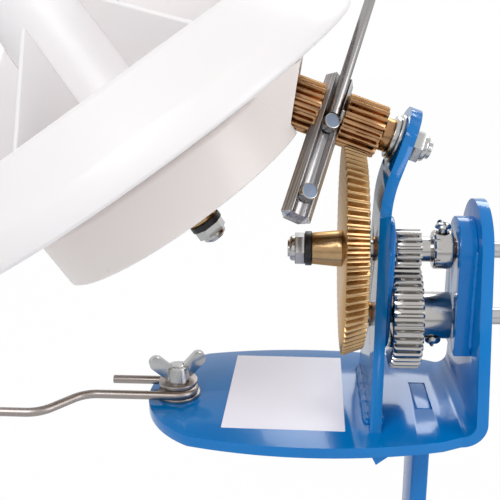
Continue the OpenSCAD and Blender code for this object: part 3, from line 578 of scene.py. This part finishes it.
# Edges broken on the solids that keep their CAD form: width in millimetres
edgeWidths = {
    "base_plate": 1.1, "middle_upright": 1.1, "inner_bearing_block": 0.9, "outer_bearing_block": 0.9,
    "clamp_bar": 1.0, "crank_arm": 0.8, "gear_guard": 0.4, "cone_fins": 0.6,
    "main_gear_washer": 0.5, "cone_gear_washer": 0.5, "axle_washers": 0.3, "guide_washers": 0.4,
    "axle_spacer": 0.3, "shaft_collar": 0.25, "wing_nut": 0.45, "clamp_handle": 0.9, "spindle_bracket": 0.4,
    "main_gear": 0.14, "cone_gear": 0.14, "main_pinion": 0.14, "drive_gear": 0.16,
    "main_shaft": 0.4, "crank_shaft": 0.4, "flyer_axle": 0.4, "cone_spindle": 0.4, "clamp_pad": 0.5,
    "bearing_bushes": 0.2, "guide_bolt": 0.4, "knob_spindle": 0.4,
}
fineEdge = 0.3
for node, width in edgeWidths.items():
    softened(node, width, 2 if width < fineEdge else 3)
print("edges broken on", len(edgeWidths), "solids")


# Bent rod of the flyer, one smooth sweep

def addRod():
    slant = degrees(atan2(rod["rise"], rod["reach"] - rod["bend"]))
    cutLow = rod["elbow"] * tan(radians(slant / 2))
    cutHigh = rod["elbow"] * tan(radians(45 - slant / 2))
    sloped = hypot(rod["rise"], rod["reach"] - rod["bend"])
    aside = Matrix.Rotation(radians(rod["twist"]), 4, "X") @ Vector((rod["foot"] * mm, rod["front"] * mm, 0))
    start = (barFrame @ Matrix.Translation(aside)
             @ Matrix.Rotation(radians(90), 4, "Y") @ Matrix.Rotation(pi, 4, "Z"))
    route = wireRoute(start, [
        ("leg", rod["bend"] - rod["foot"] - cutLow), ("turn", rod["elbow"], slant),
        ("leg", sloped - cutLow - cutHigh), ("turn", rod["elbow"], 90 - slant),
        ("leg", rod["over"] - rod["rise"] - cutHigh - eyeHeight(rod["eye"])), *eyeSteps(rod["eye"])])
    finishPiece(tube(route, rod["radius"]), "flyer_rod_swept", finishes["rod_steel"], "flyer",
                ("flyer_rod",))


addRod()

# Wire of the yarn guide

wire = {"boltX": -78.5, "boltY": -4, "shift": -1.5, "height": 9.0, "radius": 2.1, "loop": 8.0, "stub": 34,
        "near": 38, "stepBend": 14, "stepTurn": 50, "stepLeg": 12, "runOn": 14, "corner": 10, "eye": 8.5,
        "eyeX": -219.166, "eyeZ": 219.202}


def addWire():
    turn = radians(wire["stepTurn"])
    stepSide = 2 * wire["stepBend"] * (1 - cos(turn)) + wire["stepLeg"] * sin(turn)
    stepRun = 2 * wire["stepBend"] * sin(turn) + wire["stepLeg"] * cos(turn)
    startX = wire["boltX"] - wire["near"] - stepRun - wire["runOn"]
    middleY = wire["boltY"] + wire["shift"]
    sideY = middleY - wire["loop"] - stepSide
    back = degrees(atan2(-sideY, startX - wire["eyeX"]))
    rise = wire["eyeZ"] - wire["height"] - wire["corner"] - eyeHeight(wire["eye"])
    longLeg = (hypot(sideY, startX - wire["eyeX"]) - wire["corner"]
               - wire["stepBend"] * tan(radians(back / 2)))
    first = Vector((wire["boltX"] - wire["stub"], middleY + wire["loop"], wire["height"]))
    start = (Matrix.Translation(first * mm)
             @ Matrix.Rotation(radians(90), 4, "Y") @ Matrix.Rotation(radians(-90), 4, "Z"))
    route = wireRoute(start, [
        ("leg", wire["stub"]), ("turn", wire["loop"], 180), ("leg", wire["near"]), ("roll", 180),
        ("turn", wire["stepBend"], wire["stepTurn"]), ("leg", wire["stepLeg"]), ("roll", 180),
        ("turn", wire["stepBend"], wire["stepTurn"]), ("leg", wire["runOn"]),
        ("turn", wire["stepBend"], back), ("leg", longLeg), ("roll", -90),
        ("turn", wire["corner"], 90), ("leg", rise), ("roll", 90), *eyeSteps(wire["eye"])])
    finishPiece(tube(route, wire["radius"]), "guide_arm_swept", finishes["wire_steel"], "guide",
                ("guide_arm",))


addWire()
print("rod and wire swept")


# Lock nuts: a hexagon, a rolled collar and a plastic insert

lockNut = {"flats": 13, "hex": 4.7, "height": 7.15, "collar": 5.9, "roll": 1.4, "mouth": 4.7, "bore": 4.0,
           "edge": 0.45}


def hexPrism(flats, height, edge):
    bm = bmesh.new()
    bmesh.ops.create_circle(bm, cap_ends=True, segments=6, radius=flats / sqrt(3) * mm)
    raised(bm, bm.faces[:], (0, 0, height * mm))
    bmesh.ops.recalc_face_normals(bm, faces=bm.faces)
    rims = [e for e in bm.edges if abs(e.verts[0].co.z - e.verts[1].co.z) < 1e-6]
    bevelled(bm, rims, edge, 3)
    return bm


def addLockNut(node, home, base, body):
    # its collar points back along the home frame's Z
    place = home @ Matrix.Translation((0, 0, base * mm)) @ Matrix.Rotation(pi, 4, "X")
    hexHeight, top, mouth = lockNut["hex"], lockNut["height"], lockNut["mouth"]
    collar, roll = lockNut["collar"], lockNut["roll"]
    shoulder = arcPoints((collar - roll, top - roll), roll, 0, 80, 8)
    ring = spun([(collar, hexHeight - 0.3), *shoulder, (mouth, top - 0.05), (mouth, hexHeight)])
    insert = spun([(mouth, top - 1.0), (mouth - 0.3, top - 0.5), (lockNut["bore"], top - 0.6)])
    finishPiece(hexPrism(lockNut["flats"], hexHeight, lockNut["edge"]), node + "_hex", finishes["zinc"], body,
                (node,), 30, place)
    finishPiece(ring, node + "_collar", finishes["zinc"], body, (), 35, place)
    finishPiece(insert, node + "_insert", finishes["nylon"], body, (), 35, place)


gearBack = {"hub": 13.6, "washer": 3.2, "nut": 7.2}
axleEnd = {"eye": 34.9, "halfPlate": 2.5, "washer": 1.2}
addLockNut("main_gear_nut", shaftFrame, -gearBack["hub"] - gearBack["washer"], "main")
addLockNut("cone_gear_nut", coneFrame, gearBack["nut"], "cone")
addLockNut("axle_nut", flyerHome, -axleEnd["eye"] - axleEnd["halfPlate"] - axleEnd["washer"], "frame")
print("lock nuts made")


# Screws

def domed(head, height, shank, length, rim=0.25):
    # pan head with its seat at height 0
    dome = [(head * cos(radians(a)) ** 0.7, rim + (height - rim) * sin(radians(a))) for a in range(6, 88, 6)]
    return [(0.01, -length), (shank, -length), (shank, 0), (head - rim, 0), (head, rim), *dome,
            (0.01, height)]


def crossRecess(bm, height, width, reach, depth):
    # cuts the head along the sides of a cross and pushes the cross in
    for angle in (0, 90):
        for side in (-1, 1):
            cut = Matrix.Rotation(radians(angle), 3, "Z") @ Vector((0, side * width / 2 * mm, 0))
            bmesh.ops.bisect_plane(bm, geom=bm.verts[:] + bm.edges[:] + bm.faces[:], plane_co=cut,
                                   plane_no=cut.normalized(), dist=1e-7)
    for face in bm.faces:
        middle = face.calc_center_median() / mm
        near, far = sorted((abs(middle.x), abs(middle.y)))
        if far < reach and near < width / 2 and middle.z > height * 0.4:
            face.tag = True
    sunk = [face for face in bm.faces if face.tag]
    made = bmesh.ops.extrude_face_region(bm, geom=sunk)
    bmesh.ops.delete(bm, geom=sunk, context="FACES_ONLY")
    down = [part for part in made["geom"] if isinstance(part, bmesh.types.BMVert)]
    bmesh.ops.translate(bm, verts=down, vec=(0, 0, -depth * mm))
    bmesh.ops.recalc_face_normals(bm, faces=bm.faces)


setScrew = {"head": 3.7, "height": 2.6, "shank": 2.0, "crossWidth": 1.0, "crossReach": 2.3, "crossDepth": 1.1,
            "crossTurn": 25, "collar": (45.85, 0, 91.4), "gearX": 43.3, "gearTurn": 150, "gearSeat": 12.2,
            "armX": 98, "armSeat": 10.2}
crankLine = Matrix.Translation((0, 0, crankPoint.z))
setScrewPlaces = {
    "collar_screw": (Matrix.Translation(Vector(setScrew["collar"]) * mm), 7.4, "main"),
    "drive_gear_screw": (crankLine @ Matrix.Translation((setScrew["gearX"] * mm, 0, 0))
                         @ Matrix.Rotation(radians(setScrew["gearTurn"]), 4, "X")
                         @ Matrix.Translation((0, 0, setScrew["gearSeat"] * mm)), 8.2, "crank"),
    "crank_screw": (crankLine @ Matrix.Translation((setScrew["armX"] * mm, 0, setScrew["armSeat"] * mm)), 6.4,
                    "crank"),
}
for node, (place, length, body) in setScrewPlaces.items():
    bm = spun(domed(setScrew["head"], setScrew["height"], setScrew["shank"], length), 48)
    crossRecess(bm, setScrew["height"], setScrew["crossWidth"], setScrew["crossReach"],
                setScrew["crossDepth"])
    finishPiece(bm, node + "_head", finishes["zinc"], body, (node,), 32,
                place @ Matrix.Rotation(radians(setScrew["crossTurn"]), 4, "Z"))

barScrew = {"places": (-7.8, -42.5), "seat": -4.3, "head": 3.6, "height": 4.8, "rim": 0.5, "dip": 0.25,
            "shank": 2, "length": 9.8}


def addBarScrews():
    top, edge, rim = barScrew["height"], barScrew["head"], barScrew["rim"]
    shank, low = barScrew["shank"], -barScrew["length"]
    lip = (edge - 1.2 * rim, top - barScrew["dip"])
    profile = [(0.01, low), (shank, low), (shank, 0), (edge, 0), (edge, top - rim),
               *arcPoints((edge - rim, top - rim), rim, 15, 90, 5), lip]
    heads, dips = bmesh.new(), bmesh.new()
    for along in barScrew["places"]:
        place = (barFrame @ Matrix.Rotation(radians(rod["twist"]), 4, "X")
                 @ Matrix.Translation((along * mm, barScrew["seat"] * mm, 0))
                 @ Matrix.Rotation(radians(90), 4, "X"))
        head = spun(profile, 64)
        bmesh.ops.transform(head, matrix=place, verts=head.verts)
        join(heads, head)
        # a dark disc inside each head's lip, painted shade where a socket recess would be
        dip = spun([lip, (0.01, lip[1] + 0.1)], 64)
        bmesh.ops.transform(dip, matrix=place, verts=dip.verts)
        join(dips, dip)
    finishPiece(heads, "bar_screws_turned", finishes["zinc"], "flyer",
                ("bar_screws",), 35)
    finishPiece(dips, "bar_screws_recess_shade", finishes["cut_zinc"], "flyer", (), 35)


addBarScrews()
print("screws made")


# Clamp screw with its thread

clampScrew = {"x": 4, "pad": -73.5, "length": 92, "radius": 4.45, "root": 3.75, "pitch": 2.0, "head": 7,
              "headHeight": 14, "chamfer": 1, "tip": 3, "tipTop": 1.1, "threadTop": -3.4}


def helix(root, crest, pitch, low, high, steps=28):
    # a thread swept up the axis by a spin that climbs
    turns = (high - low) / pitch
    bm = bmesh.new()
    spots = [(root, -pitch / 2), (root, -pitch * 0.38), (crest, -pitch * 0.08), (crest, pitch * 0.08),
             (root, pitch * 0.38), (root, pitch / 2)]
    verts = [bm.verts.new((r * mm, 0, (low + z) * mm)) for r, z in spots]
    edges = [bm.edges.new(pair) for pair in zip(verts, verts[1:])]
    count = int(turns * steps)
    climb = (0, 0, (high - low) / count * mm)
    bmesh.ops.spin(bm, geom=verts + edges, cent=(0, 0, 0), axis=(0, 0, 1), dvec=climb,
                   angle=2 * pi * turns, steps=count, use_merge=False, use_duplicate=False)
    bmesh.ops.remove_doubles(bm, verts=bm.verts, dist=2e-6)
    bmesh.ops.recalc_face_normals(bm, faces=bm.faces)
    return bm


def addClampScrew():
    place = Matrix.Translation((clampScrew["x"] * mm, 0, clampScrew["pad"] * mm))
    head, root, tip, cut = clampScrew["head"], clampScrew["root"], clampScrew["tip"], clampScrew["chamfer"]
    low, top, tipTop = -clampScrew["length"], clampScrew["threadTop"], clampScrew["tipTop"]
    neck = low + clampScrew["headHeight"]
    body = spun([(0.01, low), (head - cut, low), (head, low + cut), (head, neck - cut), (head - cut, neck),
                 (root, neck), (root, top), (tip, top + 0.2), (tip, tipTop), (0.01, tipTop)], 64)
    thread = helix(root, clampScrew["radius"], clampScrew["pitch"], neck + 1.1, top - 1.2)
    finishPiece(join(body, thread), "clamp_screw_threaded", finishes["zinc"], "screw",
                ("clamp_screw",), 30, place)


addClampScrew()


# Turned crank knob

knob = {"radius": 13, "length": 46, "bore": 3.06, "foot": 0.6, "neck": 0.7, "neckTop": 0.15, "widest": 0.65}


def addKnob():
    radius, length, neck = knob["radius"], knob["length"], knob["neck"]
    swell = knob["widest"] - knob["neckTop"]
    belly = [(radius * (neck + (1 - neck) * sin(radians(a))), length * (knob["neckTop"] + swell * a / 90))
             for a in range(0, 90, 6)]
    crown = [(radius * cos(radians(a)), length * (knob["widest"] + (1 - knob["widest"]) * sin(radians(a))))
             for a in range(0, 78, 6)]
    profile = [(knob["bore"], 0), *arcPoints((radius * knob["foot"] - 0.8, 0.8), 0.8, -90, 0, 4),
               (radius * neck - 0.4, length * 0.10), *belly, *crown, (knob["bore"], length)]
    place = axisFrame(Vector((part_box("crank_knob")[0].x, knobPoint.y, knobPoint.z)), mainAxis, up)
    finishPiece(spun(profile), "crank_knob_turned", finishes["knob_plastic"], "knob",
                ("crank_knob",), 40, place)


addKnob()
print("clamp screw and knob made")


# Cone: the floor, band, skirt and rim turned in one smooth piece, and the column, with a dark box at its top
# as painted shade for its slot

cone = {"floor": 69.6, "dish": 86.6, "flange": 55.6, "top": 198.6, "dishRadius": 84, "rimRadius": 110,
        "wall": 2.2, "foot": 28.6, "head": 22, "crown": 6, "hub": 9, "hubLow": 51.3, "hubHigh": 85.6,
        "bore": 3.96, "slot": (38.5, 2.2, 0.6), "inset": 0.15}


def rounded(points, reach, steps=5):
    # cuts each inner corner with a smooth curve that starts that far from it
    smooth = [points[0]]
    for before, corner, after in zip(points, points[1:], points[2:]):
        before, corner, after = Vector(before), Vector(corner), Vector(after)
        back, onward = before - corner, after - corner
        start = corner + back.normalized() * min(reach, back.length * 0.49)
        end = corner + onward.normalized() * min(reach, onward.length * 0.49)
        for i in range(steps + 1):
            t = i / steps
            smooth.append(tuple((1 - t) ** 2 * start + 2 * t * (1 - t) * corner + t ** 2 * end))
    return [*smooth, points[-1]]


def addCone():
    white = finishes["white_plastic"]
    floor, dish, flange = cone["floor"], cone["dish"], cone["flange"]
    edge, rim, wall, hub = cone["dishRadius"], cone["rimRadius"], cone["wall"], cone["hub"]
    under = [(hub - 0.5, floor - wall), (edge - 8, floor - wall), (edge - 3 - wall / 2, floor + 1),
             (edge - wall, dish - 7), (edge + 3, dish - 3.4), (rim - 7, flange + 9), (rim - 3.8, flange + 3)]
    lip = arcPoints((rim - 1.9, flange + 1.6), 1.75, 180, 360, 10)
    over = [(rim - 0.6, flange + 5), (rim - 3.4, flange + 12),
            *arcPoints((edge + 3, dish - 5.2), 5.2, 35, 145, 14), (edge - 3.4, dish - 9),
            (edge - 6, floor + 3), (edge - 9, floor), (hub + 1.4, floor), (hub - 0.1, floor + 1.4)]
    profile = [*rounded(under, 1.6), *lip, *rounded(over, 1.6)]
    finishPiece(spun(profile, 180), "cone_dish", white, "cone",
                ("cone_floor", "cone_skirt"), 50, coneFrame)

    low, high, bore = cone["hubLow"], cone["hubHigh"], cone["bore"]
    sleeve = spun([(bore, low), (hub - 0.5, low), (hub, low + 0.5), (hub, high - 0.5), (hub - 0.5, high),
                   (bore, high)], 64)
    finishPiece(sleeve, "cone_hub", white, "cone", (), 40, coneFrame)

    top, crown, foot, head = cone["top"], cone["crown"], cone["foot"], cone["head"]
    shoulder = (head - crown, top - crown)
    outer = [(foot + 0.9, floor + 0.02), (foot, floor + 1.0), (head, top - crown),
             *arcPoints(shoulder, crown, 8, 90, 12), (0.01, top)]
    inner = [(0.01, top - wall), *arcPoints(shoulder, crown - wall, 90, 0, 8), (foot - wall, floor + 0.02)]
    finishPiece(spun([*outer, *inner], 96), "cone_column_turned", white, "cone",
                ("cone_column",), 50, coneFrame)

    # a thin dark box at the column's top: painted shade where the slot would be, as the slot itself is not
    # cut
    slot = bmesh.new()
    bmesh.ops.create_cube(slot, size=mm)
    bmesh.ops.scale(slot, vec=cone["slot"], verts=slot.verts)
    bmesh.ops.translate(slot, vec=(0, 0, (top - cone["inset"]) * mm), verts=slot.verts)
    finishPiece(slot, "cone_slot_shade_box", finishes["slot_shade"], "cone", (), 30, coneFrame)


addCone()

# Flyer bar: a drawn hexagon, milled flat in front with a shallow round groove

bar = {"half": 6, "corner": 6.928, "down": 52, "up": 18, "front": -5.2, "lip": 0.3, "deep": -3.5,
       "edge": 0.22, "slotNear": 5.2, "slotFar": 6.0, "toothEdge": 0.12}


def addBar():
    half, corner, front = bar["half"], bar["corner"], bar["front"]
    shoulder = corner + front * tan(radians(30))
    edge = shoulder - bar["lip"]
    sink = bar["deep"] - front
    bend = (edge * edge + sink * sink) / (2 * sink)
    spread = degrees(atan2(edge, bend - sink))
    groove = arcPoints((bar["deep"] - bend, 0), bend, -spread, spread, 12)
    outline = [(front, shoulder), (0, corner), (half, corner / 2), (half, -corner / 2), (0, -corner),
               (front, -shoulder), *groove]
    bm = bmesh.new()
    face = bm.faces.new([bm.verts.new((-bar["down"] * mm, y * mm, z * mm)) for y, z in outline])
    raised(bm, [face], ((bar["down"] + bar["up"]) * mm, 0, 0))
    bmesh.ops.recalc_face_normals(bm, faces=bm.faces)
    bevelled(bm, sharpEdges(bm), bar["edge"], 2)
    place = barFrame @ Matrix.Rotation(radians(rod["twist"]), 4, "X")
    finishPiece(bm, "flyer_bar_drawn", finishes["milled_bar"], "flyer",
                ("flyer_bar",), 30, place)


addBar()


def addFlyerPinion():
    # the CAD teeth, drawn out along the axle until they meet the bar
    bm = mergedCopy("flyer_pinion")
    back = barFrame.inverted()
    for vert in bm.verts:
        spot = back @ vert.co
        if abs(abs(spot.z) - bar["corner"] * mm) < 0.03 * mm and spot.y < 0.2 * mm:
            spot.z = (bar["slotNear"] if spot.z > 0 else -bar["slotFar"]) * mm
            vert.co = barFrame @ spot
    bmesh.ops.recalc_face_normals(bm, faces=bm.faces)
    bevelled(bm, sharpEdges(bm), bar["toothEdge"], 2)
    finishPiece(bm, "flyer_pinion_cut", finishes["flyer_brass"], "flyer",
                ("flyer_pinion",), 40)


addFlyerPinion()
print("cone, bar and pinion made")


# Weld beads under the paint

weld = {"spacing": 1.1, "footX": 12.9, "slope": tan(radians(1.6)), "thick": 5, "gap": 0.4, "halfFoot": 29,
        "plateTop": 5.2, "blockSide": 15.6, "blockLow": 42, "blockHigh": 84, "outerX": 58.6, "outerLow": 36}


def addBead(name, first, last, radius, seed):
    # a tube whose radius wavers from step to step and fades at both ends
    first, last = Vector(first) * mm, Vector(last) * mm
    count = int((last - first).length / mm / weld["spacing"])
    points, swell = [], []
    for i in range(count + 1):
        wave = 0.5 * sin(i * 1.9 + seed) + 0.3 * sin(i * 0.73 + 2 * seed) + 0.2 * sin(i * 3.7)
        points.append(first.lerp(last, i / count))
        ends = min(1.0, (i + 0.5) / 2, (count - i + 0.5) / 2)
        swell.append(ends * (0.86 + 0.20 * wave))
    finishPiece(tube(points, radius, swell), name, finishes["frame_paint"], "frame",
                (), 60)


def addWelds():
    reach, plateTop, low, high = weld["halfFoot"], weld["plateTop"], weld["blockLow"], weld["blockHigh"]
    leftX = weld["footX"] - weld["gap"]
    rightX = weld["footX"] + weld["thick"] + weld["gap"]
    addBead("weld_foot_left", (leftX, -reach, plateTop), (leftX, reach, plateTop), 2.4, 0.4)
    addBead("weld_foot_right", (rightX, -reach, plateTop), (rightX, reach, plateTop), 2.2, 2.1)
    for side, word in ((-1, "near"), (1, "far")):
        y = side * weld["blockSide"]
        addBead("weld_block_inner_" + word, (rightX + low * weld["slope"], y, low),
                (rightX + high * weld["slope"], y, high), 1.5, 1.3 + side)
        addBead("weld_block_outer_" + word, (weld["outerX"], y, weld["outerLow"]), (weld["outerX"], y, high),
                1.5, 3.1 + side)


addWelds()
print("weld beads laid")


# Bare label on the plate

label = {"centre": (-25.6, 2.7), "size": (56.2, 76.0), "turn": -0.8, "corner": 0.6, "thick": 0.14,
         "height": 4.98}


def addLabel():
    bm = bmesh.new()
    bmesh.ops.create_grid(bm, x_segments=1, y_segments=1, size=0.5 * mm)
    bmesh.ops.scale(bm, vec=(*label["size"], 1), verts=bm.verts)
    bevelled(bm, bm.verts[:], label["corner"], 5, "VERTICES")
    raised(bm, bm.faces[:], (0, 0, label["thick"] * mm))
    bmesh.ops.recalc_face_normals(bm, faces=bm.faces)
    place = (Matrix.Translation(Vector((*label["centre"], label["height"])) * mm)
             @ Matrix.Rotation(radians(label["turn"]), 4, "Z"))
    finishPiece(bm, "bare_label", finishes["label"], "frame", (), 30, place)


addLabel()
print("label laid")


# Floor, lights and background

stage = {"radius": 4, "gap": 0.0005, "colour": (0.88, 0.88, 0.885), "shade": (0.86, 0.86, 0.865),
         "glow": 0.98}


def addStage():
    low = min(corner[2] for corner in solidBox)
    bm = bmesh.new()
    bmesh.ops.create_circle(bm, cap_ends=True, segments=96, radius=stage["radius"])
    bmesh.ops.translate(bm, verts=bm.verts, vec=(0, 0, low - stage["gap"]))
    data = bpy.data.meshes.new("floor")
    bm.to_mesh(data)
    bm.free()
    material, place, shader = startMaterial("paleFloor", {"Specular IOR Level": 0.1, "Roughness": 0.8})
    feed(shader, colour=blendColour(noise(place, 3, 2), stage["colour"], stage["shade"]))
    # the camera sees it nearly as white as the background, and the object still stands in its own shade
    tree = material.node_tree
    rays = tree.nodes.new("ShaderNodeLightPath")
    seen = Signal(tree, rays.outputs["Is Camera Ray"])
    glow = Signal(tree).node("Emission", None, {"Color": (1, 1, 1, 1), "Strength": 1.0})
    plain = Signal(tree, shader.outputs[0])
    mixed = seen.node("MixShader", None, {0: seen * stage["glow"], 1: plain, 2: glow})
    output = next(node for node in tree.nodes if node.bl_idname == "ShaderNodeOutputMaterial")
    tree.links.new(mixed.socket, output.inputs[0])
    data.materials.append(material)
    floor = bpy.data.objects.new("floor", data)
    bpy.context.scene.collection.objects.link(floor)


sky = {"colour": (0.95, 0.97, 1.0, 1), "strength": 0.50}


def addWorld():
    # soft light on the object, white where the camera or a reflection looks past it
    world = bpy.data.worlds.new("studio")
    bpy.context.scene.world = world
    world.use_nodes = True
    tree = world.node_tree
    tree.nodes.clear()
    rays = tree.nodes.new("ShaderNodeLightPath")
    straight, glossy, through = (Signal(tree, rays.outputs[kind])
                                 for kind in ("Is Camera Ray", "Is Glossy Ray", "Is Transmission Ray"))
    shown = clamped(straight + glossy + through, 0.0, 1.0)
    soft = shown.node("Background", None, {"Color": sky["colour"], "Strength": sky["strength"]})
    white = shown.node("Background", None, {"Color": (1, 1, 1, 1), "Strength": 1.0})
    mixed = shown.node("MixShader", None, {0: shown, 1: soft, 2: white})
    output = tree.nodes.new("ShaderNodeOutputWorld")
    tree.links.new(mixed.socket, output.inputs[0])


lamps = {
    "keyLamp": {"place": (-0.45, -0.75, 0.85), "size": (0.5, 0.5), "power": 6.4},
    "fillLamp": {"place": (0.85, -0.45, 0.35), "size": (0.5, 0.7), "power": 3.5},
    "backLamp": {"place": (0.25, 0.8, 0.75), "size": (0.7, 0.4), "power": 5.0},
}
lampTarget = Vector((-0.04, 0, 0.12))


def addLamp(name, place, size, power):
    data = bpy.data.lights.new(name, "AREA")
    data.shape = "RECTANGLE"
    data.size, data.size_y = size
    data.energy = power
    lamp = bpy.data.objects.new(name, data)
    lamp.rotation_euler = (lampTarget - Vector(place)).to_track_quat("-Z", "Y").to_euler()
    lamp.location = place
    bpy.context.scene.collection.objects.link(lamp)


addStage()
addWorld()
for name, settings in lamps.items():
    addLamp(name, **settings)
print("stage, world and lamps set")
